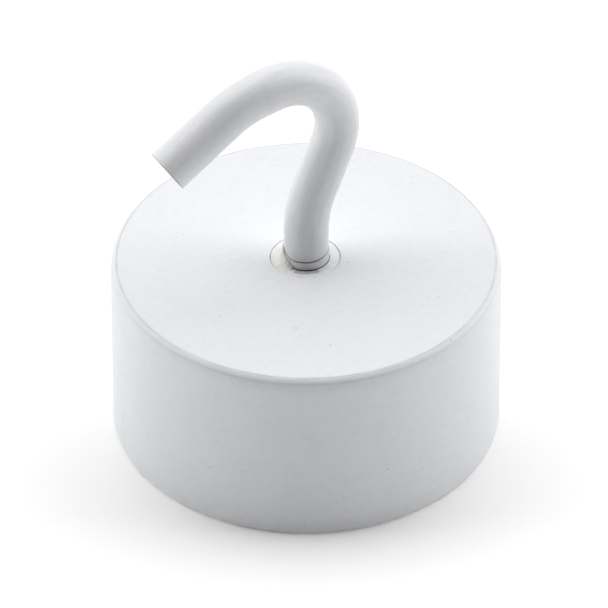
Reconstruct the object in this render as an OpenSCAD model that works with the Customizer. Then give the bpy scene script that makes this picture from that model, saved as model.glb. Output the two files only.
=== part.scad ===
// Deep pot magnet with a screw-in open hook, painted white.
//
// A steel pot holds two ring magnets and a pole plate. A bush is riveted into the pot's
// top from inside. The pole screw goes into the bush from below and clamps the stack, and
// the hook, bent from one length of wire, screws into the same bush from above.
//
// Millimetres. The origin is the centre of the working face, and +Z points up the hook.
// The hook lies in the XZ plane, with its mouth towards -X. Threads are plain cylinders.

/* [Pot] */
// Outer diameter of the pot
pot_d = 36; // [36:1:44]
// Height of the pot, from the working face to the rim of its top
pot_h = 18; // [17:0.5:22]
// Thickness of the pot's side wall
pot_wall = 3; // [2.5:0.25:3.5]
// Thickness of the pot's top
pot_top = 3.5; // [3:0.25:4.5]
// Radius that rounds the rim of the top
rim_r = 1.2; // [1.1:0.1:1.5]
// Depth of the rounded rim, down the side
rim_drop = 1; // [0.8:0.1:1]
// Rise of the top, from its rim to the bush
crown = 0.25; // [0.1:0.05:0.4]

/* [Magnets] */
// Hole through each ring magnet
magnet_hole_d = 12; // [12:0.5:14]
// Ring of plastic between the magnets and the pot's wall
magnet_gap = 1.5; // [1:0.25:2]
// Thickness of the pole plate
plate_t = 3.5; // [3:0.25:4]
// Depth of the resin that seals the working face
seal_t = 0.8; // [0.5:0.1:1.2]

/* [Bush and pole screw] */
// Diameter of the bush's riveted head
bush_head_d = 6.4; // [6.2:0.1:7]
// Diameter of the bush's body inside the magnets
bush_body_d = 8; // [7.5:0.25:8.5]
// Diameter of the pole screw's countersunk head
screw_head_d = 7.6; // [7:0.2:8]

/* [Hook] */
// Diameter of the wire, with its paint
wire_d = 4.2; // [4:0.1:4.2]
// Straight wire above the bush
stem = 3; // [2:0.1:5]
// Angle that the stem leans away from the mouth
lean_angle = 23; // [15:1:30]
// Bend radius of the lean
lean_r = 12.5; // [8:0.5:16]
// Straight wire between the lean and the bight
lean_len = 4.4; // [2:0.1:7]
// Bend radius of the bight
bight_r = 6.2; // [5:0.1:7]
// Angle that the bight turns through
bight_angle = 121; // [110:1:130]
// Straight wire between the bight and the mouth's bend
link_len = 0.8; // [0.7:0.1:2]
// Bend radius where the bight opens towards the tip
mouth_r = 10.5; // [8:0.5:14]
// Angle that this last bend turns through
mouth_angle = 24.3; // [15:0.1:30]
// Straight wire at the tip
tip_len = 6.7; // [4:0.05:7]

/* [Hidden] */

$fn = 96;

// Radial play of a part that only has to slide into place
play = 0.05;
// Overlap that lets one cut run cleanly through a face
cut = 1;

// Pot
pot_r = pot_d / 2;
cavity_r = pot_r - pot_wall;
cavity_h = pot_h - pot_top;
rim_inset = rim_r - sqrt(rim_r * rim_r - rim_drop * rim_drop);
rim_land = 0.01;
foot_chamfer = 0.3;

// Magnet stack
magnet_r = cavity_r - magnet_gap;
magnet_t = (cavity_h - plate_t) / 2;
magnet_chamfer = 0.4;
plate_r = magnet_r - 0.5;
plate_chamfer = 0.3;
seal_recess = 0.2;

// Thread that the hook and the pole screw share
thread_d = 4;

// Bush, from its riveted head down to its tail
bore_d = thread_d + 2 * play;
bore_mouth = 0.2;
head_z = pot_h + crown;
head_t = 0.6;
head_groove = 0.1;
neck_d = bush_head_d - 1;
shoulder_d = magnet_hole_d - 0.4;
shoulder_t = 1.5;
tail_z = plate_t + 0.5;

// Pole screw
screw_end_z = tail_z + 5;
screw_sink = 0.1;
countersink_d = screw_head_d + 2 * (screw_sink + play);
slot_w = 1;
slot_depth = 1;

// Bends, where the wire is a hair thinner than where it is straight
bend_d = wire_d - 0.04;
bend_lap = 0.3;

// Threaded end of the hook, and the crest of paint where the painted wire starts
hook_end_z = screw_end_z + 1;
end_chamfer = 0.4;
wire_z = head_z + play;
crest_d = wire_d + 0.1;
crest_h = 0.8;
tip_chamfer = 0.15;

// A tube standing on the XY plane
module tube(outer_d, inner_d, height) {
    difference() {
        cylinder(h = height, d = outer_d);
        translate([0, 0, -cut]) cylinder(h = height + 2 * cut, d = inner_d);
    }
}

// A rod standing on the XY plane, with a chamfer on its top and on its foot
module rod(d, height, top = 0, foot = 0) {
    if (foot > 0) cylinder(h = foot, d1 = d - 2 * foot, d2 = d);
    translate([0, 0, foot]) cylinder(h = height - top - foot, d = d);
    if (top > 0) translate([0, 0, height - top]) cylinder(h = top, d1 = d, d2 = d - 2 * top);
}

// A ring magnet with chamfered outer edges
module ring_magnet() {
    difference() {
        rod(2 * magnet_r, magnet_t, magnet_chamfer, magnet_chamfer);
        translate([0, 0, -cut]) cylinder(h = magnet_t + 2 * cut, d = magnet_hole_d);
    }
}

// Straight wire up from here, with the rest of the wire on its end
module straight(length) {
    cylinder(h = length, d = wire_d);
    translate([0, 0, length]) children();
}

// Wire that bends towards -X, with the rest of the wire on its end. It runs on into the
// straight wire at both of its ends.
module bend(radius, angle) {
    lap = bend_lap * 180 / (PI * radius);
    translate([-radius, 0, 0]) {
        rotate([0, lap, 0]) rotate([90, 0, 0]) rotate_extrude(angle = angle + 2 * lap)
            translate([radius, 0]) circle(d = bend_d);
        rotate([0, -angle, 0]) translate([radius, 0, 0]) children();
    }
}

// Half section of the pot before it is hollowed
module pot_outline() {
    square([pot_r - foot_chamfer, foot_chamfer]);
    translate([0, foot_chamfer]) square([pot_r, pot_h - rim_drop - foot_chamfer]);
    intersection() {
        translate([pot_r - rim_r, pot_h - rim_drop]) circle(r = rim_r);
        square([pot_r, pot_h]);
    }
    square([pot_r - rim_r, pot_h]);
    polygon([
        [pot_r - foot_chamfer, 0], [pot_r, foot_chamfer], [pot_r - foot_chamfer, foot_chamfer]
    ]);
    polygon([
        [0, pot_h], [pot_r - rim_inset - rim_land, pot_h],
        [bush_head_d / 2 + head_groove, head_z], [0, head_z]
    ]);
}

// Turned steel pot, open at the working face
module pot_shell() {
    color("whitesmoke") difference() {
        rotate_extrude() pot_outline();
        translate([0, 0, -cut]) cylinder(h = cavity_h + cut, r = cavity_r);
        translate([0, 0, -cut]) cylinder(h = pot_h + 2 * cut, d = neck_d + 2 * play);
        translate([0, 0, head_z - head_t - play])
            cylinder(h = head_t + cut, d = bush_head_d + 2 * head_groove);
    }
}

// Brass bush, pushed up through the pot's top and riveted over
module threaded_bush() {
    color("gainsboro") difference() {
        union() {
            translate([0, 0, head_z - head_t]) rod(bush_head_d, head_t, 0.15);
            translate([0, 0, cavity_h]) cylinder(h = head_z - head_t - cavity_h, d = neck_d);
            translate([0, 0, cavity_h - shoulder_t]) cylinder(h = shoulder_t, d = shoulder_d);
            translate([0, 0, tail_z])
                rod(bush_body_d, cavity_h - shoulder_t - tail_z, 0, end_chamfer);
        }
        translate([0, 0, tail_z - cut]) cylinder(h = head_z, d = bore_d);
        translate([0, 0, head_z - bore_mouth])
            cylinder(h = bore_mouth, d1 = bore_d, d2 = bore_d + 2 * bore_mouth);
    }
}

// Ring magnet against the underside of the pot's top
module upper_magnet() {
    color("dimgray") translate([0, 0, plate_t + magnet_t]) ring_magnet();
}

// Ring magnet on the pole plate
module lower_magnet() {
    color("dimgray") translate([0, 0, plate_t]) ring_magnet();
}

// Plastic tube that centres both magnets on the bush
module centring_tube() {
    color("ivory") translate([0, 0, plate_t])
        tube(magnet_hole_d - 2 * play, bush_body_d + 2 * play, cavity_h - shoulder_t - plate_t);
}

// Plastic ring that keeps the magnets and the pole plate clear of the pot's wall
module centring_ring() {
    color("ivory") translate([0, 0, seal_t + seal_recess]) difference() {
        tube(2 * (cavity_r - play), 2 * (plate_r + play), cavity_h - seal_t - seal_recess);
        translate([0, 0, plate_t - seal_t - seal_recess])
            cylinder(h = cavity_h, r = magnet_r + play);
    }
}

// Steel plate that carries the magnets' lower pole to the working face
module pole_plate() {
    color("silver") difference() {
        rod(2 * plate_r, plate_t, plate_chamfer, plate_chamfer);
        translate([0, 0, -cut]) cylinder(h = plate_t + 2 * cut, d = thread_d + 0.5);
        cylinder(h = countersink_d / 2, d1 = countersink_d, d2 = 0);
    }
}

// Brass countersunk screw that clamps the stack to the bush
module pole_screw() {
    head_h = (screw_head_d - thread_d) / 2;
    color("goldenrod") translate([0, 0, screw_sink]) difference() {
        union() {
            cylinder(h = head_h, d1 = screw_head_d, d2 = thread_d);
            rod(thread_d, screw_end_z - screw_sink, end_chamfer);
        }
        translate([-screw_head_d / 2 - cut, -slot_w / 2, -cut])
            cube([screw_head_d + 2 * cut, slot_w, slot_depth + cut]);
    }
}

// Resin between the pole plate and the rim of the pot
module seal_ring() {
    color("slategray") translate([0, 0, seal_recess]) tube(2 * cavity_r, 2 * plate_r, seal_t);
}

// Hook bent from one length of wire, threaded at its lower end. Each piece of wire holds
// the rest of the wire, and a half turn makes the next bend go the other way.
module hook() {
    color("whitesmoke") {
        translate([0, 0, hook_end_z]) rod(thread_d, wire_z + cut - hook_end_z, 0, end_chamfer);
        translate([0, 0, wire_z]) rod(crest_d, crest_h, 0.1, 0.1);
        translate([0, 0, wire_z])
            straight(stem)
            rotate(180) bend(lean_r, lean_angle)
            straight(lean_len)
            rotate(180) bend(bight_r, bight_angle)
            straight(link_len)
            bend(mouth_r, mouth_angle)
            rod(wire_d, tip_len, tip_chamfer);
    }
}

hook();
threaded_bush();
pot_shell();
upper_magnet();
lower_magnet();
centring_tube();
centring_ring();
pole_plate();
pole_screw();
seal_ring();
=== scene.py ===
"""Looks of a deep pot magnet with a screw-in open hook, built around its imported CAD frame.

Every length in the shape code is in millimetres, and MM turns it into Blender's metres.
The origin is the centre of the working face, and +Z points up the hook.
"""

import math

import bmesh
import bpy
from mathutils import Matrix, Vector, noise


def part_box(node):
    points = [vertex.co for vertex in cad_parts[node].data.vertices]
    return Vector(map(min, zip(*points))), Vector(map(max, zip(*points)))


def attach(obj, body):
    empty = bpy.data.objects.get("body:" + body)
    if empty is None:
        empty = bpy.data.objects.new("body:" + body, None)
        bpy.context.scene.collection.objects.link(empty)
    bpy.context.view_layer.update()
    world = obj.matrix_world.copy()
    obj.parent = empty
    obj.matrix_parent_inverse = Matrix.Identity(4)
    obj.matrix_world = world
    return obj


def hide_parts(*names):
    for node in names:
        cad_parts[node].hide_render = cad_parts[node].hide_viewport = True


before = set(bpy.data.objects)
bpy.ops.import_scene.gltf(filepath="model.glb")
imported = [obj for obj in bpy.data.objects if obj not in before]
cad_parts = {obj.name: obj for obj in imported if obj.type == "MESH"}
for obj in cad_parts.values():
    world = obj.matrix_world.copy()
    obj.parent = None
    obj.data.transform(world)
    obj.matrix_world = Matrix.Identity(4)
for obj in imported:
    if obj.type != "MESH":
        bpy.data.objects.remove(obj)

MM = 0.001
TAU = 2 * math.pi
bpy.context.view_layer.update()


def extent(node):
    """Outer radius of a turned CAD node, and its lowest and highest level."""
    low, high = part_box(node)
    return high.x / MM, low.z / MM, high.z / MM


POT_R = extent("pot_shell")[0]
PLATE_R, _, PLATE_TOP = extent("pole_plate")
SEAL_R, SEAL_LOW, SEAL_HIGH = extent("seal_ring")
SCREW_R, SCREW_LOW, SCREW_TOP = extent("pole_screw")
SHOULDER_R, BUSH_LOW, HEAD_Z = extent("threaded_bush")
MAGNET_TOP = extent("upper_magnet")[2]
HOOK_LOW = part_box("hook")[0].z / MM

# Sizes that part.scad has and no node's box gives
RIM_Z = 18.0
RIM_INSET = 0.537
CREASE_R = POT_R - RIM_INSET
FOOT_CHAMFER = 0.3
HEAD_R = 3.2
HEAD_T = 0.6
NECK_R = 2.7
BORE_R = 2.05
BODY_R = 4.0
SHOULDER_T = 1.5
THREAD_R = 2.0
WIRE_R = 2.1
COLLAR_R = 2.15
WIRE_Z = 18.3
PLATE_CHAMFER = 0.3
SLOT_W = 1.0
SLOT_DEPTH = 1.0
# The painted wire: a straight has its length, and a bend its radius and its turn towards +X
WIRE_PATH = ((3.0, 0), (12.5, 23), (4.4, 0), (6.2, -121), (0.8, 0), (10.5, -24.3), (6.7, 0))

# Finer sizes that only the visual model has
RIM_LOW = 16.4
RIM_LEAN = math.radians(15)
BEVEL_H = 0.32
CREASE_MID = CREASE_R - 0.04
HEAD_GAP = 0.05
HEAD_SHIFT = 0.09
BEND_R = 2.07
PITCH = 0.7
THREAD_DEPTH = 0.38
# How far the visual wire stays inside the CAD wire
SKIN = 0.01
RING_SIDES = 96

# Direction of the camera, and of the front of the head's details, round the Z axis
VIEW_AZIMUTH = math.radians(-30)
VIEW_ELEVATION = math.radians(38.65)
FRONT_ANGLE = VIEW_AZIMUTH - math.pi / 2


# ---------------------------------------------------------------- shape helpers

def ease(low, high, value):
    """0 below low, 1 above high, and a smooth step between them."""
    t = min(1.0, max(0.0, (value - low) / (high - low)))
    return t * t * (3 - 2 * t)


def curve_through(points, value):
    """Height at value of the smooth curve through (place, height) points."""
    if value <= points[0][0]:
        return points[0][1]
    for (x0, y0), (x1, y1) in zip(points, points[1:]):
        if value <= x1:
            return y0 + (y1 - y0) * ease(x0, x1, value)
    return points[-1][1]


def from_front(angle):
    """Degrees round the Z axis from the front, positive to the right, from -180 to 180."""
    return math.degrees((angle - FRONT_ANGLE + math.pi) % TAU - math.pi)


def rounded(corners, steps=6):
    """The closed line through (r, z, radius) corners, each one an arc with a support point either side."""
    line = []
    for i, (r, z, radius) in enumerate(corners):
        here = Vector((r, z))
        if not radius:
            line.append(tuple(here))
            continue
        back = (Vector(corners[i - 1][:2]) - here).normalized()
        ahead = (Vector(corners[(i + 1) % len(corners)][:2]) - here).normalized()
        half = back.angle(ahead) / 2
        centre = here + (back + ahead).normalized() * (radius / math.sin(half))
        start = here + back * (radius / math.tan(half))
        end = here + ahead * (radius / math.tan(half))
        line.append(tuple(start + back * radius * 0.3))
        for step in range(steps + 1):
            arm = (start - centre).lerp(end - centre, step / steps).normalized() * radius
            line.append(tuple(centre + arm))
        line.append(tuple(end + ahead * radius * 0.3))
    return line


def between(start, end, count):
    """The count points that part the line from start to end evenly, without its ends."""
    a, b = Vector(start), Vector(end)
    return [tuple(a.lerp(b, (k + 1) / (count + 1))) for k in range(count)]


def mesh_object(name, points, faces):
    mesh = bpy.data.meshes.new(name)
    mesh.from_pydata([Vector(p) * MM for p in points], [], faces)
    mesh.validate()
    built = bmesh.new()
    built.from_mesh(mesh)
    bmesh.ops.recalc_face_normals(built, faces=built.faces)
    built.to_mesh(mesh)
    built.free()
    mesh.shade_smooth()
    obj = bpy.data.objects.new(name, mesh)
    bpy.context.scene.collection.objects.link(obj)
    return obj


def turned(name, line, relief=None, segments=256):
    """A body turned from a closed (r, z) line. relief moves each point by its angle."""
    points, faces, count = [], [], len(line)
    for i in range(segments):
        angle = TAU * i / segments
        for r, z in line:
            if relief:
                r, z = relief(r, z, angle)
            points.append((r * math.cos(angle), r * math.sin(angle), z))
    for i in range(segments):
        near, far = i * count, (i + 1) % segments * count
        for k in range(count):
            nxt = (k + 1) % count
            faces.append((near + k, far + k, far + nxt, near + nxt))
    return mesh_object(name, points, faces)


def ring_at(centre, lean, radius):
    """Points round centre. The ring's axis leans from +Z towards +X, and radius may vary with the angle."""
    across = Vector((math.cos(lean), 0, -math.sin(lean)))
    ring = []
    for i in range(RING_SIDES):
        angle = TAU * i / RING_SIDES
        r = radius(angle) if callable(radius) else radius
        ring.append(centre + across * r * math.cos(angle) + Vector((0, r * math.sin(angle), 0)))
    return ring


def thread_radius(z, angle, share, from_end):
    """Radius of a screw thread that has a share of its depth, at a distance from its chamfered end."""
    turn = (z / PITCH - angle / TAU) % 1
    flank = min(1.0, max(0.0, (abs(turn - 0.5) * 2 - 0.2) / 0.65))
    return min(THREAD_R - 0.015 - THREAD_DEPTH * share * (1 - flank), THREAD_R - 0.42 + from_end)


def rings_to_mesh(name, rings, centres):
    """A closed skin over rings of equal length, capped by a fan at each end."""
    count = len(rings[0])
    points = [p for ring in rings for p in ring] + list(centres)
    faces = []
    for k in range(len(rings) - 1):
        a, b = k * count, (k + 1) * count
        for i in range(count):
            j = (i + 1) % count
            faces.append((a + i, a + j, b + j, b + i))
    last = (len(rings) - 1) * count
    for i in range(count):
        j = (i + 1) % count
        faces.append((j, i, len(points) - 2))
        faces.append((last + i, last + j, len(points) - 1))
    return mesh_object(name, points, faces)


def mark(obj, name, value):
    """Stores value(x, y, z), in millimetres, at each vertex as an attribute that a material reads."""
    layer = obj.data.attributes.new(name, "FLOAT", "POINT")
    layer.data.foreach_set("value", [value(*(v.co / MM)) for v in obj.data.vertices])


# ---------------------------------------------------------------- pot shell

def head_fill(angle):
    """How far paint fills the groove round the bush's head, from 0 to 1."""
    degrees = from_front(angle)
    front = 0.85 * (1 - ease(14, 42, abs(degrees - 6)))
    behind = 0.8 * (1 - ease(20, 60, abs(degrees + 130)))
    flicker = 0.35 * noise.noise(Vector((math.cos(angle), math.sin(angle), 0)) * 4)
    return min(0.92, max(0.0, max(front, behind, 0.4) + flicker))


def head_shift(r, angle):
    """How far the head's outline moves outwards here, because it is set a little to the left."""
    near = ease(HEAD_R - 0.6, HEAD_R - 0.05, r) * ease(HEAD_R + 0.9, HEAD_R + HEAD_GAP + 0.05, r)
    return -HEAD_SHIFT * math.sin(math.radians(from_front(angle))) * near


def pot_relief(r, z, angle):
    """The crease inside the rim, and the groove round the bush's head where paint partly fills it."""
    round_about = Vector((math.cos(angle), math.sin(angle), 0))
    if z > RIM_Z - 0.3 and r > HEAD_R:
        depth = 0.05 * (1 + 0.6 * noise.noise(round_about * 5))
        z -= depth * math.exp(-((r - CREASE_MID) / 0.07) ** 2)
    if z > RIM_Z - 1 and HEAD_R < r < HEAD_R + 0.9:
        fill = head_fill(angle)
        top = HEAD_Z - (HEAD_Z - RIM_Z) * (r - HEAD_R) / (CREASE_R - HEAD_R)
        if r < HEAD_R + HEAD_GAP + 0.3:
            z += (top - z) * fill * ease(HEAD_Z - HEAD_T, HEAD_Z - 0.1, z)
            r -= 0.02 * fill * ease(HEAD_R + HEAD_GAP + 0.02, HEAD_R + HEAD_GAP, r)
        r += head_shift(r, angle)
    return r, z


groove_r = HEAD_R + HEAD_GAP
shelf_z = HEAD_Z - HEAD_T - 0.05
# The side leans in over a wide arc, up to a bevel that ends at the crease. The arc stops short of
# the bevel's foot, to leave room for the rounding there.
lean_arc = (RIM_Z - BEVEL_H - RIM_LOW) / math.sin(RIM_LEAN)
rim_line = [
    (POT_R - lean_arc * (1 - math.cos(turn)), RIM_LOW + lean_arc * math.sin(turn), 0)
    for turn in (RIM_LEAN * k / 12 for k in range(10))
]
bevel_foot = (POT_R - lean_arc * (1 - math.cos(RIM_LEAN)), RIM_Z - BEVEL_H, 0.4)
pot_line = rounded([
    (SEAL_R, 0, 0.1),
    (POT_R - FOOT_CHAMFER, 0, 0.12),
    (POT_R, FOOT_CHAMFER, 0.3),
    *rim_line,
    bevel_foot,
    (CREASE_R, RIM_Z, 0.05),
    (groove_r, HEAD_Z, 0.06),
    (groove_r, shelf_z, 0),
    (NECK_R + 0.05, shelf_z, 0),
    (NECK_R + 0.05, MAGNET_TOP, 0),
    (SEAL_R, MAGNET_TOP, 0),
], steps=10)


def refined(line):
    """The line with extra points over the crease, and on the long straights."""
    fine = []
    for here, nxt in zip(line, line[1:] + line[:1]):
        fine.append(here)
        length = (Vector(nxt) - Vector(here)).length
        if here[0] - nxt[0] > 10 and here[1] > RIM_Z - 1:
            crease = [CREASE_R - step for step in (0.02, 0.035, 0.055, 0.075, 0.1, 0.13, 0.18, 0.25, 0.35)]
            rise = (nxt[1] - here[1]) / (nxt[0] - here[0])
            spread = crease + [16.5, 15, 12, 9, 7, 5.5, 4.5, 4.1, 3.8, 3.6, 3.45]
            fine += [(r, here[1] + (r - here[0]) * rise) for r in spread if r < here[0]]
        elif length > 1:
            fine += between(here, nxt, int(length))
    return fine


def pot_crease_shade(x, y, z):
    """Painted shade: darker in the crease inside the rim, and a fainter band of painted shade just below the
    bevel.
    """
    r = math.hypot(x, y)
    patchy = 0.75 + 0.5 * noise.noise(Vector((x, y, z)) * 0.6)
    crease = math.exp(-((r - CREASE_MID) / 0.08) ** 2) * ease(RIM_Z - 0.2, RIM_Z - 0.1, z)
    below = 0.3 * math.exp(-((z - RIM_Z + BEVEL_H + 0.1) / 0.1) ** 2) * ease(CREASE_R, POT_R - 0.2, r)
    return patchy * max(crease, below)


pot = turned("pot_painted_shell", refined(pot_line), pot_relief, 384)
# painted shade in the rim's crease and below the bevel, kept as a vertex attribute
mark(pot, "shade_and_darkening", pot_crease_shade)
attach(pot, "pot")
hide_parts("pot_shell")


# ---------------------------------------------------------------- bush

# Height of the paint that has crept up round the wire, by degrees from the front
PAINT_RISE = ((-175, 0), (-120, 1.0), (-82, 1.38), (-58, 0.85), (-49, 0.6), (-36, 0.26), (-31, 0))
RISE_R = COLLAR_R + 0.005
RISE_W = 0.85
GREY_PATCH_R = 2.68


def bush_relief(r, z, angle):
    """The hammered, painted top of the bush's riveted head."""
    if z < HEAD_Z - HEAD_T + 0.05:
        return r, z
    degrees = from_front(angle)
    fill = head_fill(angle)
    spot = Vector((r * math.cos(angle), r * math.sin(angle), 0))
    on_top = ease(HEAD_Z - 0.2, HEAD_Z - 0.1, z)
    inward = ease(HEAD_R - 0.02, HEAD_R - 0.35, r)
    outward = ease(BORE_R, BORE_R + 0.3, r)
    # a rounded edge that the paint levels, and hammer marks
    z += (HEAD_Z - 0.01 - z) * 0.85 * fill * on_top * (1 - inward)
    if r > HEAD_R - 0.06:
        r += 0.012 * fill
    z -= 0.05 * on_top * ease(HEAD_R - 0.9, HEAD_R, r)
    z += on_top * inward * outward * (
        0.035 * noise.noise(spot * 1.3 + Vector((3, 1, 0))) + 0.022 * noise.noise(spot * 4))
    # a shallow dip at the front edge of the bore
    grey_patch = (1 - ease(20, 33, abs(degrees - 1))) * (1 - ease(GREY_PATCH_R - 0.2, GREY_PATCH_R + 0.1, r)) * on_top
    z -= 0.03 * grey_patch
    # the paint that has crept up round the wire
    rise = curve_through(PAINT_RISE, degrees)
    t = min(1.0, max(0.0, (r - RISE_R) / RISE_W))
    z += rise * on_top * (1 - t) ** 2.4 * (1 + 0.12 * noise.noise(spot * 2.2))
    # the gap round the wire is wider where no paint has crept up
    open_gap = ease(-34, -30, degrees) * ease(150, 110, degrees)
    r += 0.02 * open_gap * ease(RISE_R + 0.4, RISE_R, r) * ease(HEAD_Z - 0.35, HEAD_Z - 0.14, z)
    r += head_shift(r, angle) if z > HEAD_Z - 0.3 else 0.0
    return r, z


bush_line = rounded([
    (BORE_R, BUSH_LOW, 0.15),
    (BODY_R - 0.4, BUSH_LOW, 0.08),
    (BODY_R, BUSH_LOW + 0.4, 0.1),
    (BODY_R, MAGNET_TOP - SHOULDER_T, 0.15),
    (SHOULDER_R, MAGNET_TOP - SHOULDER_T, 0.15),
    (SHOULDER_R, MAGNET_TOP, 0.15),
    (NECK_R, MAGNET_TOP, 0),
    (NECK_R, HEAD_Z - HEAD_T, 0),
    (HEAD_R, HEAD_Z - HEAD_T, 0.04),
    (HEAD_R, HEAD_Z, 0.15),
    (RISE_R, HEAD_Z, 0.02),
    (RISE_R, HEAD_Z - 0.14, 0.02),
    (BORE_R, HEAD_Z - 0.3, 0.03),
], steps=5)


def head_refined(line):
    """The line with the radial points that the head's relief needs."""
    fine = []
    for here, nxt in zip(line, line[1:] + line[:1]):
        fine.append(here)
        length = (Vector(nxt) - Vector(here)).length
        if here[1] > HEAD_Z - 0.01 and nxt[1] > HEAD_Z - 0.01 and length > 0.3:
            fine += between(here, nxt, 26)
        elif length > 1:
            fine += between(here, nxt, int(length))
    return fine


bush = turned("bush_riveted", head_refined(bush_line), bush_relief, 288)


def bush_gap_shade(x, y, z):
    """Painted shade: dark down the gap round the wire, in the groove round the head, and along the seam on
    the left where the crept-up paint meets the wire.
    """
    r = math.hypot(x, y)
    degrees = from_front(math.atan2(y, x))
    gap = ease(HEAD_Z - 0.03, HEAD_Z - 0.12, z) * ease(2.4, 2.2, r)
    groove = 0.35 * ease(HEAD_Z - 0.14, HEAD_Z - 0.3, z)
    edge = math.exp(-((r - RISE_R) / 0.035) ** 2) * ease(HEAD_Z - 0.02, HEAD_Z + 0.1, z)
    edge *= ease(-95, -50, degrees) * ease(-28, -31, degrees)
    return max(gap, groove, 0.85 * edge)


def bush_grey_patch(x, y, z):
    """A darker grey patch on the head at the front of the bore."""
    degrees = abs(from_front(math.atan2(y, x)) - 1)
    near = ease(GREY_PATCH_R + 0.12, GREY_PATCH_R - 0.15, math.hypot(x, y))
    return (1 - ease(20, 34, degrees)) * near * ease(RIM_Z - 0.1, RIM_Z + 0.1, z)


# painted shade in the gap, the groove and the seam, kept as a vertex attribute
mark(bush, "shade_and_darkening", bush_gap_shade)
mark(bush, "grey_patch", bush_grey_patch)
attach(bush, "pot")
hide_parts("threaded_bush")


# ---------------------------------------------------------------- hook

# Top of the collar above the bush's head, by degrees from the front
COLLAR_RISE = ((-180, 1.0), (-82, 1.42), (-58, 0.9), (-42, 0.78), (0, 0.8), (64, 0.95), (180, 1.0))


def foot_radius(z, angle):
    """Radius of the wire where it leaves the bush: the collar, and the fine line above it."""
    collar_top = HEAD_Z + curve_through(COLLAR_RISE, from_front(angle))
    collar = COLLAR_R - SKIN - 0.12 * ease(WIRE_Z - 0.01, WIRE_Z - 0.05, z)
    wire = WIRE_R - SKIN - 0.06 * ease(collar_top + 2.2, collar_top, z)
    line = math.exp(-((z - collar_top - 0.02) / 0.04) ** 2)
    return wire + (collar - wire) * ease(collar_top, collar_top - 0.05, z) - 0.12 * line


def hook_rings():
    """The wire's rings, from its threaded end to just short of its tip."""
    rings = []
    z = HOOK_LOW
    while z < HEAD_Z - 0.02:
        share = ease(HEAD_Z - 0.05, HEAD_Z - 0.7, z)
        rings.append(ring_at(Vector((0, 0, z)), 0, lambda a: thread_radius(z, a, share, z - HOOK_LOW)))
        z += 0.05
    z = HEAD_Z
    while z < WIRE_Z + WIRE_PATH[0][0] - 0.2:
        rings.append(ring_at(Vector((0, 0, z)), 0, lambda a: foot_radius(z, a)))
        z += 0.028
    x, lean = 0.0, 0.0
    for size, turn in ((WIRE_PATH[0][0] - (z - WIRE_Z), 0), *WIRE_PATH[1:]):
        bend = math.radians(turn)
        length = abs(bend) * size if turn else size
        count = max(2, round(length / 0.28))
        step = length / count
        for k in range(count):
            lean_step = step / size * math.copysign(1, bend) if turn else 0.0
            lean += lean_step / 2
            x += step * math.sin(lean)
            z += step * math.cos(lean)
            lean += lean_step / 2
            at = (k + 1) / count
            thin = math.sin(math.pi * at) ** 0.3 if turn and at < 1 else 0.0
            radius = WIRE_R - SKIN - (WIRE_R - BEND_R) * thin
            rings.append(ring_at(Vector((x, 0, z)), lean, radius))
    # hook_tip makes the last stretch
    return rings[:-3]


def wire_end():
    """Centre of the wire's cut end, and the wire's lean there."""
    x, z, lean = 0.0, WIRE_Z, 0.0
    for size, turn in WIRE_PATH:
        bend = math.radians(turn)
        if not turn:
            x += size * math.sin(lean)
            z += size * math.cos(lean)
            continue
        side = math.copysign(size, bend)
        x += side * (math.cos(lean) - math.cos(lean + bend))
        z += side * (math.sin(lean + bend) - math.sin(lean))
        lean += bend
    return Vector((x, 0, z)), lean


tip_end, tip_lean = wire_end()
tip_along = Vector((math.sin(tip_lean), 0, math.cos(tip_lean)))


def hook_tip():
    """The cut end's rings: a rounded rim and a slightly domed, sheared face."""
    across = Vector((math.cos(tip_lean), 0, -math.sin(tip_lean)))
    rim, radius = 0.07, WIRE_R - SKIN
    rows = [(radius, -rim - 0.3), (radius, -rim - 0.08)]
    for step in range(8):
        turn = math.pi / 2 * step / 7
        rows.append((radius - rim * (1 - math.cos(turn)), -rim + rim * math.sin(turn)))
    for share in (0.97, 0.85, 0.7, 0.55, 0.4, 0.25, 0.1):
        rows.append(((radius - rim) * share, 0.02 * (1 - share ** 2)))
    rings = []
    for r, forward in rows:
        ring = []
        for i in range(RING_SIDES):
            angle = TAU * i / RING_SIDES
            spot = Vector((r * math.cos(angle), r * math.sin(angle), 5))
            dent = 0.025 * noise.noise(spot * 1.1) * ease(radius, radius - 0.5, r)
            ring.append(tip_end + across * r * math.cos(angle) + Vector((0, r * math.sin(angle), 0))
                        + tip_along * (forward + dent - 0.04))
        rings.append(ring)
    return rings


rings = hook_rings() + hook_tip()
hook = rings_to_mesh("hook_wire", rings, [(0, 0, HOOK_LOW), tip_end - tip_along * 0.02])


def hook_shade_and_tip_dark(x, y, z):
    """Darker, patchy, round the rim of the cut end; painted shade in the fine line above the collar and down
    the bore below it.
    """
    if z > HEAD_Z + 2 or math.hypot(x, y) > 3:
        spot = Vector((x, y, z))
        from_end = (spot - tip_end).dot(tip_along)
        off_axis = (spot - tip_end - tip_along * from_end).length
        patchy = 0.3 + 0.35 * noise.noise(spot * 0.8)
        return patchy * ease(-0.16, -0.1, from_end) * ease(WIRE_R - 0.25, WIRE_R - 0.1, off_axis)
    degrees = from_front(math.atan2(y, x))
    collar_top = HEAD_Z + curve_through(COLLAR_RISE, degrees)
    line = math.exp(-((z - collar_top - 0.02) / 0.05) ** 2) * (0.25 + 0.65 * ease(-70, -38, degrees))
    return max(line, ease(WIRE_Z - 0.02, WIRE_Z - 0.05, z))


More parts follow.
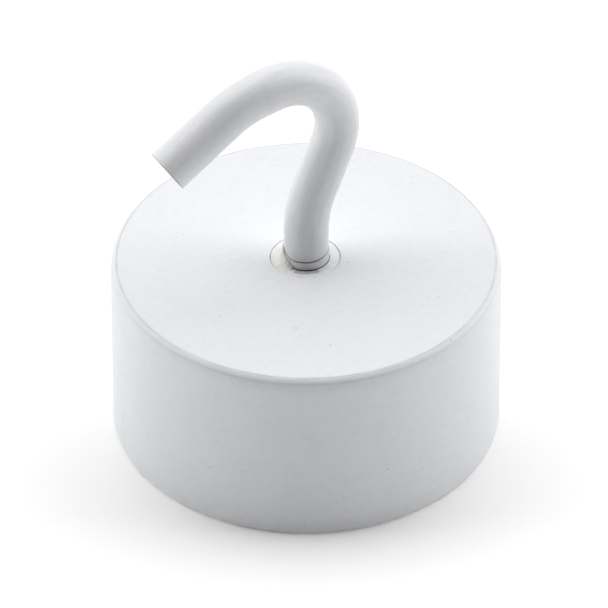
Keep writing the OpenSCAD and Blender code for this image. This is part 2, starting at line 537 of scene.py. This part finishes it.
def mark_run(obj, rings):
    """Stores each vertex's place along the wire, and round it, in metres, for marks that follow the wire."""
    values, run, before = [], 0.0, None
    for ring in rings:
        centre = sum(ring, Vector()) / len(ring)
        run += (centre - before).length if before else 0.0
        before = centre
        for i in range(len(ring)):
            angle = TAU * i / len(ring)
            values += [run * MM, WIRE_R * math.cos(angle) * MM, WIRE_R * math.sin(angle) * MM]
    # the two points that cap the ends
    values += [0.0, 0.0, 0.0, run * MM, 0.0, 0.0]
    obj.data.attributes.new("run", "FLOAT_VECTOR", "POINT").data.foreach_set("vector", values)


# painted shade in the fine line above the collar and in the bore, and a darker rim at the cut end
mark(hook, "shade_and_darkening", hook_shade_and_tip_dark)
mark_run(hook, rings)
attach(hook, "hook")
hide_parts("hook")


# ---------------------------------------------------------------- working face

SINK_R = SCREW_R + 0.15
HOLE_R = 2.25
plate_line = rounded([
    (HOLE_R, SINK_R - HOLE_R, 0.05),
    (SINK_R, 0, 0.08),
    (PLATE_R - PLATE_CHAMFER, 0, 0.15),
    (PLATE_R, PLATE_CHAMFER, 0.15),
    (PLATE_R, PLATE_TOP, 0.3),
    (HOLE_R, PLATE_TOP, 0.1),
])
plate = turned("pole_plate_ground", plate_line)
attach(plate, "pot")
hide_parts("pole_plate")


def seal_relief(r, z, angle):
    """Resin that sags between the plate and the wall, and creeps up both of them."""
    if z > SEAL_LOW + 0.1:
        return r, z
    across = (r - PLATE_R) / (SEAL_R - PLATE_R)
    creep = 0.13 * abs(2 * across - 1) ** 3
    spot = Vector((math.cos(angle), math.sin(angle), across * 0.3))
    return r, z - creep + 0.05 * noise.noise(spot * 6) * (1 - abs(2 * across - 1))


seal_line = [(PLATE_R, SEAL_HIGH), (PLATE_R, SEAL_LOW)]
seal_line += between((PLATE_R, SEAL_LOW), (SEAL_R, SEAL_LOW), 16)
seal_line += [(SEAL_R, SEAL_LOW), (SEAL_R, SEAL_HIGH)]
seal = turned("seal_resin", seal_line, seal_relief)
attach(seal, "pot")
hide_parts("seal_ring")


def screw_rings():
    """The pole screw's rings: a countersunk head that faces down, and a threaded shank."""
    rows = [(r, SCREW_LOW) for r in (0.4, 1.2, 2.0, 2.8, 3.4, 3.62)]
    rows += [(SCREW_R - 0.12 + 0.12 * math.sin(a), SCREW_LOW + 0.12 - 0.12 * math.cos(a))
             for a in (math.radians(d) for d in range(0, 91, 15))]
    neck = SCREW_LOW + SCREW_R - THREAD_R
    rows += [(SCREW_R - (SCREW_R - THREAD_R) * t, SCREW_LOW + 0.15 + (neck - SCREW_LOW - 0.15) * t)
             for t in (0.03, 0.2, 0.4, 0.6, 0.8, 0.97, 1.0)]
    rings = [ring_at(Vector((0, 0, z)), 0, r) for r, z in rows]
    z = neck + 0.05
    while z < SCREW_TOP:
        share = ease(neck + 0.2, neck + 0.9, z)
        rings.append(ring_at(Vector((0, 0, z)), 0, lambda a: thread_radius(z, a, share, SCREW_TOP - z)))
        z += 0.05
    return rings


def cut_slot(obj):
    """Cuts the driver's slot across the screw's head."""
    corners = ((-1, -1), (1, -1), (1, 1), (-1, 1))
    reach, half = SCREW_R + 1, SLOT_W / 2
    points = [(x * reach, y * half, z) for z in (-1, SCREW_LOW + SLOT_DEPTH) for x, y in corners]
    sides = [(i, (i + 1) % 4, (i + 1) % 4 + 4, i + 4) for i in range(4)]
    cutter = mesh_object("slot_cutter", points, [(0, 1, 2, 3), (4, 5, 6, 7), *sides])
    boolean = obj.modifiers.new("slot", "BOOLEAN")
    boolean.object = cutter
    boolean.solver = "EXACT"
    applied = bpy.data.meshes.new_from_object(obj.evaluated_get(bpy.context.evaluated_depsgraph_get()))
    obj.modifiers.clear()
    obj.data = applied
    bpy.data.objects.remove(cutter)
    obj.data.set_sharp_from_angle(angle=math.radians(35))


turns = screw_rings()
screw = rings_to_mesh("pole_screw_brass", turns, [(0, 0, SCREW_LOW), (0, 0, turns[-1][0].z)])
cut_slot(screw)
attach(screw, "pot")
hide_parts("pole_screw")


# ---------------------------------------------------------------- materials

class Nodes:
    """Short calls that add nodes to a tree."""

    def __init__(self, tree):
        self.tree = tree

    def node(self, kind, inputs=None, **settings):
        made = self.tree.nodes.new(kind)
        for key, value in settings.items():
            setattr(made, key, value)
        for key, value in (inputs or {}).items():
            self.feed(made.inputs[key], value)
        return made

    def feed(self, socket, value):
        if isinstance(value, bpy.types.NodeSocket):
            self.tree.links.new(value, socket)
        else:
            socket.default_value = value

    def ramp(self, value, low, high, out_low=0.0, out_high=1.0, smooth=True):
        """value mapped from low..high to out_low..out_high."""
        return self.node("ShaderNodeMapRange", {
            "Value": value, "From Min": low, "From Max": high, "To Min": out_low, "To Max": out_high,
        }, interpolation_type="SMOOTHSTEP" if smooth else "LINEAR").outputs["Result"]

    def math(self, operation, a, b=0.0):
        return self.node("ShaderNodeMath", {0: a, 1: b}, operation=operation).outputs[0]


class Surface(Nodes):
    """A material's node tree round one Principled shader."""

    def __init__(self, name, **sockets):
        self.material = bpy.data.materials.new(name)
        self.material.use_nodes = True
        super().__init__(self.material.node_tree)
        self.shader = self.tree.nodes["Principled BSDF"]
        for socket, value in sockets.items():
            self.shader.inputs[socket.replace("_", " ")].default_value = value
        self.place = self.node("ShaderNodeTexCoord").outputs["Object"]

    def noise(self, size, detail=2.0, rough=0.5, stretch=(1, 1, 1), shift=(0, 0, 0), place=None):
        """Noise whose features are about size millimetres across, from 0 to 1."""
        moved = self.node("ShaderNodeMapping", {
            "Vector": place or self.place, "Scale": stretch, "Location": shift,
        })
        return self.node("ShaderNodeTexNoise", {
            "Vector": moved.outputs[0], "Scale": 1000 / size, "Detail": detail, "Roughness": rough,
        }).outputs[0]

    def mix(self, factor, a, b):
        """Colour a where factor is 0 and b where it is 1."""
        return self.node("ShaderNodeMix", {0: factor, 6: a, 7: b}, data_type="RGBA").outputs[2]

    def specks(self, spacing, size, share, shift=0.0):
        """1 on small round spots of a diameter in some of the cells of a lattice, all in millimetres."""
        moved = self.node("ShaderNodeMapping", {"Vector": self.place, "Location": (shift, shift, shift)})
        cells = self.node("ShaderNodeTexVoronoi", {"Vector": moved.outputs[0], "Scale": 1000 / spacing})
        spot = self.ramp(cells.outputs["Distance"], size / spacing / 2, size / spacing / 4)
        chosen = self.node("ShaderNodeSeparateColor", {0: cells.outputs["Color"]}).outputs[0]
        return self.math("MULTIPLY", spot, self.math("LESS_THAN", chosen, share))

    def bump(self, height, micrometres, normal=None):
        """A bump whose height is given in micrometres."""
        below = {"Normal": normal} if normal else {}
        return self.node("ShaderNodeBump", {
            "Height": height, "Distance": micrometres * 1e-6, "Strength": 1.0, **below,
        }).outputs[0]

    def with_painted_shade(self, colour, shade_and_darkening, amount):
        """colour, darkened towards a dark colour where the mesh's attribute of painted shade and other
        darkening says.
        """
        mask = self.node("ShaderNodeAttribute", attribute_name="shade_and_darkening").outputs["Fac"]
        return self.mix(self.math("MULTIPLY", mask, amount), colour, shade_and_darkening)

    def put(self, socket, value):
        self.feed(self.shader.inputs[socket], value)


def white_paint(name, tint_a, tint_b, speck_share, shade_amount, worn_foot=False, drawn=False):
    """Semi-gloss white paint on steel, with orange peel, dust in the film and fine scuffs.

    A worn foot shows steel at its edge, and drawn wire shows streaks along it.
    """
    s = Surface(name, IOR=1.5)
    light = [tint + more for tint, more in zip(tint_b, (0.025, 0.015, 0.015))]
    dark = [tint - 0.1 for tint in tint_a]
    colour = s.mix(s.ramp(s.noise(3.5, 4, 0.6), 0.35, 0.65), (*tint_a, 1), (*tint_b, 1))
    colour = s.mix(s.ramp(s.noise(0.55, 3, 0.6), 0.3, 0.7), colour, (*light, 1))
    dust = s.math("MAXIMUM", s.specks(2.3, 0.22, speck_share), s.specks(1.3, 0.14, speck_share * 0.6, 0.4))
    colour = s.mix(s.math("MULTIPLY", dust, 0.5), colour, (0.2, 0.2, 0.21, 1))
    scuff = s.ramp(s.noise(0.22, 3, 0.6, stretch=(0.14, 0.14, 1)), 0.66, 0.76)
    scuffed = s.ramp(s.noise(7, 2, 0.5, shift=(0.02, 0.01, 0)), 0.52, 0.62)
    scuff = s.math("MULTIPLY", scuff, scuffed)
    colour = s.mix(s.math("MULTIPLY", scuff, 0.25), colour, (0.45, 0.46, 0.5, 1))
    roughness = s.ramp(s.noise(1.2, 4), 0.3, 0.7, 0.38, 0.5)
    roughness = s.math("ADD", roughness, s.math("MULTIPLY", scuff, 0.12))
    peel = s.noise(0.85, 2, 0.45)
    grain = s.noise(0.16, 2, 0.5)
    normal = s.bump(peel, 24, s.bump(grain, 4.5, s.bump(dust, 12, s.bump(scuff, -2))))
    if drawn:
        run = s.node("ShaderNodeAttribute", attribute_name="run").outputs["Vector"]
        streak = s.noise(0.55, 3, 0.6, stretch=(0.1, 1, 1), place=run)
        colour = s.mix(s.ramp(streak, 0.3, 0.75, 0, 0.5), colour, (*dark, 1))
        normal = s.bump(streak, 9, normal)
    if worn_foot:
        level = s.node("ShaderNodeSeparateXYZ", {0: s.place}).outputs[2]
        low = s.ramp(level, 0.35 * MM, 0.03 * MM)
        worn = s.ramp(s.math("ADD", s.math("MULTIPLY", low, 0.45), s.noise(1.6, 5, 0.65)), 0.9, 1.0)
        colour = s.mix(worn, colour, (0.5, 0.5, 0.51, 1))
        s.put("Metallic", s.math("MULTIPLY", worn, 0.9))
        roughness = s.math("SUBTRACT", roughness, s.math("MULTIPLY", worn, 0.05))
    # painted shade, and other darkening, where the mesh's attribute says
    s.put("Base Color", s.with_painted_shade(colour, (0.06, 0.06, 0.07, 1), shade_amount))
    s.put("Roughness", roughness)
    s.put("Normal", normal)
    return s.material


def bush_paint():
    """Thin paint over the hammered head: warm on one side, cool on the other, with a darker grey patch at
    the front of the bore.
    """
    s = Surface("bush_paint", IOR=1.5)
    across = (math.cos(VIEW_AZIMUTH), math.sin(VIEW_AZIMUTH), 0)
    along = s.node("ShaderNodeVectorMath", {0: s.place, 1: across}, operation="DOT_PRODUCT").outputs["Value"]
    side = s.ramp(along, -2.6 * MM, 1.6 * MM)
    colour = s.mix(side, (0.76, 0.74, 0.69, 1), (0.74, 0.77, 0.79, 1))
    blot = s.ramp(s.noise(0.7, 4, 0.65), 0.38, 0.68)
    colour = s.mix(s.math("MULTIPLY", blot, 0.7), colour, (0.86, 0.87, 0.88, 1))
    colour = s.mix(s.math("MULTIPLY", s.specks(0.45, 0.16, 0.3), 0.5), colour, (0.5, 0.45, 0.42, 1))
    # a darker grey patch at the front of the bore
    grey_patch = s.node("ShaderNodeAttribute", attribute_name="grey_patch").outputs["Fac"]
    grey_patch = s.ramp(s.math("ADD", grey_patch, s.math("MULTIPLY", s.noise(0.35, 4, 0.7), 0.9)), 0.75, 1.15)
    colour = s.mix(s.math("MULTIPLY", grey_patch, 0.8), colour, (0.40, 0.38, 0.38, 1))
    # painted shade down the gap and in the groove round the head, where the mesh's attribute says
    s.put("Base Color", s.with_painted_shade(colour, (0.05, 0.05, 0.06, 1), 0.95))
    s.put("Roughness", s.ramp(s.noise(0.6, 3), 0.3, 0.7, 0.22, 0.4))
    s.put("Normal", s.bump(s.noise(0.45, 3, 0.6), 32, s.bump(s.noise(0.15, 2), 4)))
    return s.material


def ground_steel():
    """Bright steel, surface ground in one direction, with coarser scratches and a few pits."""
    s = Surface("ground_steel", Metallic=1.0)
    lines = s.noise(0.12, 4, 0.6, stretch=(0.02, 1, 1))
    coarse = s.noise(0.5, 3, 0.6, stretch=(0.015, 1, 1), shift=(0.1, 0.2, 0))
    cloud = s.noise(4, 3)
    s.put("Base Color", s.mix(s.ramp(cloud, 0.3, 0.7), (0.5, 0.5, 0.51, 1), (0.62, 0.61, 0.6, 1)))
    s.put("Roughness", s.ramp(s.math("ADD", lines, s.math("MULTIPLY", cloud, 0.4)), 0.4, 1.0, 0.2, 0.42))
    s.put("Normal", s.bump(lines, 3, s.bump(coarse, 4, s.bump(s.specks(1.2, 0.12, 0.25), -6))))
    return s.material


def brass():
    """Turned brass, a little dulled, with fine tool rings."""
    s = Surface("brass", Metallic=1.0)
    x, y, _ = s.node("ShaderNodeSeparateXYZ", {0: s.place}).outputs
    radius = s.math("SQRT", s.math("ADD", s.math("MULTIPLY", x, x), s.math("MULTIPLY", y, y)))
    rings = s.math("SINE", s.math("MULTIPLY", radius, TAU / (0.12 * MM)))
    dull = s.noise(1.1, 4, 0.6)
    s.put("Base Color", s.mix(s.ramp(dull, 0.35, 0.7), (0.75, 0.56, 0.27, 1), (0.5, 0.36, 0.18, 1)))
    s.put("Roughness", s.ramp(dull, 0.3, 0.7, 0.22, 0.42))
    s.put("Normal", s.bump(rings, 1.0, s.bump(s.noise(0.3, 3), 4)))
    return s.material


def resin():
    """Poured grey epoxy with a glossy skin, faint swirls and a few burst bubbles."""
    s = Surface("resin", IOR=1.55)
    bubbles = s.specks(1.1, 0.22, 0.3)
    colour = s.mix(s.ramp(s.noise(2.5, 4, 0.6), 0.35, 0.65), (0.10, 0.12, 0.135, 1), (0.15, 0.165, 0.18, 1))
    s.put("Base Color", s.mix(s.math("MULTIPLY", bubbles, 0.5), colour, (0.05, 0.055, 0.06, 1)))
    s.put("Roughness", s.ramp(s.noise(1.5, 3), 0.3, 0.7, 0.14, 0.3))
    s.put("Normal", s.bump(s.noise(1.8, 2), 30, s.bump(bubbles, -40)))
    return s.material


def ferrite():
    """Sintered ferrite: charcoal, matt and finely granular, with small chips."""
    s = Surface("ferrite", IOR=1.45)
    grain = s.noise(0.18, 4, 0.6)
    chips = s.specks(1.6, 0.4, 0.3)
    colour = s.mix(s.ramp(grain, 0.3, 0.7), (0.028, 0.028, 0.03, 1), (0.06, 0.06, 0.064, 1))
    s.put("Base Color", s.mix(chips, colour, (0.085, 0.085, 0.09, 1)))
    s.put("Roughness", s.ramp(s.noise(0.9, 3), 0.3, 0.7, 0.6, 0.85))
    s.put("Normal", s.bump(grain, 12, s.bump(chips, -30)))
    return s.material


def nylon():
    """Moulded natural nylon with a faint flow pattern and a fine matt texture."""
    s = Surface("nylon", IOR=1.53, Subsurface_Weight=0.15, Subsurface_Scale=0.001)
    flow = s.noise(3, 3, 0.5, stretch=(1, 1, 0.3))
    s.put("Base Color", s.mix(s.ramp(flow, 0.35, 0.65), (0.72, 0.69, 0.6, 1), (0.8, 0.78, 0.7, 1)))
    s.put("Roughness", s.ramp(s.noise(0.5, 2), 0.3, 0.7, 0.42, 0.55))
    s.put("Normal", s.bump(s.noise(0.12, 3), 3))
    return s.material


# The two tints that each paint mixes
POT_WHITE = ((0.74, 0.755, 0.78), (0.76, 0.775, 0.795))
HOOK_WHITE = ((0.74, 0.755, 0.775), (0.765, 0.775, 0.79))
looks = {
    "pot_shell": white_paint("pot_paint", *POT_WHITE, 0.4, 0.3, worn_foot=True),
    "hook": white_paint("hook_paint", *HOOK_WHITE, 0.3, 0.95, drawn=True),
    "threaded_bush": bush_paint(),
    "pole_plate": ground_steel(),
    "pole_screw": brass(),
    "seal_ring": resin(),
}
pieces = {
    "pot_shell": pot, "hook": hook, "threaded_bush": bush,
    "pole_plate": plate, "pole_screw": screw, "seal_ring": seal,
}
for node, piece in pieces.items():
    piece.data.materials.clear()
    piece.data.materials.append(looks[node])
looks["upper_magnet"] = looks["lower_magnet"] = ferrite()
looks["centring_tube"] = looks["centring_ring"] = nylon()
for node, look in looks.items():
    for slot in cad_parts[node].material_slots:
        slot.material = look


# ---------------------------------------------------------------- studio

right = Vector((math.cos(VIEW_AZIMUTH), math.sin(VIEW_AZIMUTH), 0))
back = Vector((
    math.sin(VIEW_AZIMUTH) * math.cos(VIEW_ELEVATION),
    -math.cos(VIEW_AZIMUTH) * math.cos(VIEW_ELEVATION),
    math.sin(VIEW_ELEVATION),
))
up = back.cross(right)
CAMERA_AWAY = 37 * POT_R
# The middle of the picture
AIM = Vector((0, 0, RIM_Z)) - right * 0.202 - up * 4.186

# The tent's light: its strength, the elevation of the dark cone's axis, the half angle of the cone
# and the softness of its edge in degrees, and the share of the light at the horizon
SKY_BRIGHT = 2.62
SKY_LEVEL = 7
SKY_EDGE = 79
SKY_SOFT = 3
SKY_LOW = 0.98
# Height of a direction, 0 level and 1 straight up, above which SKY_LOW has no effect
SKY_HIGH = 0.39
FLOOR_GLOW = 0.135

camera_data = bpy.data.cameras.new("camera")
camera_data.sensor_width = 36
camera_data.lens = 429.6
camera_data.clip_start = 0.01
camera = bpy.data.objects.new("camera", camera_data)
axes = Matrix((right, up, back)).transposed().to_4x4()
camera.matrix_world = Matrix.Translation((AIM + back * CAMERA_AWAY) * MM) @ axes
bpy.context.scene.collection.objects.link(camera)
bpy.context.scene.camera = camera
bpy.context.scene.view_settings.view_transform = "Standard"


def studio_sky():
    """A white tent: bright at both sides and above, dim behind, and dark round the camera."""
    world = bpy.data.worlds.new("studio")
    bpy.context.scene.world = world
    world.use_nodes = True
    s = Nodes(world.node_tree)
    direction = s.node("ShaderNodeTexCoord").outputs["Generated"]
    height = s.node("ShaderNodeSeparateXYZ", {0: direction}).outputs[2]
    level = math.radians(SKY_LEVEL)
    towards = (
        math.sin(VIEW_AZIMUTH) * math.cos(level),
        -math.cos(VIEW_AZIMUTH) * math.cos(level),
        math.sin(level),
    )
    facing = s.node("ShaderNodeVectorMath", {0: direction, 1: towards}, operation="DOT_PRODUCT")
    away = s.math("ARCCOSINE", facing.outputs["Value"])
    edge = math.radians(SKY_EDGE)
    soft = math.radians(SKY_SOFT)
    light = s.ramp(away, edge - soft, edge + soft, 0, SKY_BRIGHT)
    light = s.math("MULTIPLY", light, s.ramp(away, edge, math.pi, 1, 0))
    light = s.math("MULTIPLY", light, s.ramp(height, 0, SKY_HIGH, SKY_LOW, 1))
    light = s.math("MULTIPLY", light, s.ramp(height, -0.01, 0.01))
    # the camera itself sees plain white
    seen = s.node("ShaderNodeLightPath").outputs["Is Camera Ray"]
    strength = s.node("ShaderNodeMix", {0: seen, 2: light, 3: 1.0}).outputs[0]
    sky = s.tree.nodes["Background"]
    s.feed(sky.inputs["Color"], (1, 1, 1, 1))
    s.feed(sky.inputs["Strength"], strength)


studio_sky()

floor_mesh = bpy.data.meshes.new("floor")
floor_mesh.from_pydata([(x, y, 0) for x, y in ((-3, -3), (3, -3), (3, 3), (-3, 3))], [], [(0, 1, 2, 3)])
floor = bpy.data.objects.new("floor", floor_mesh)
bpy.context.scene.collection.objects.link(floor)
paper = Surface("floor_paper", Roughness=0.9, Emission_Color=(1, 1, 1, 1), Emission_Strength=FLOOR_GLOW)
paper.put("Base Color", paper.mix(paper.noise(60, 2), (0.91, 0.91, 0.91, 1), (0.93, 0.93, 0.93, 1)))
floor_mesh.materials.append(paper.material)
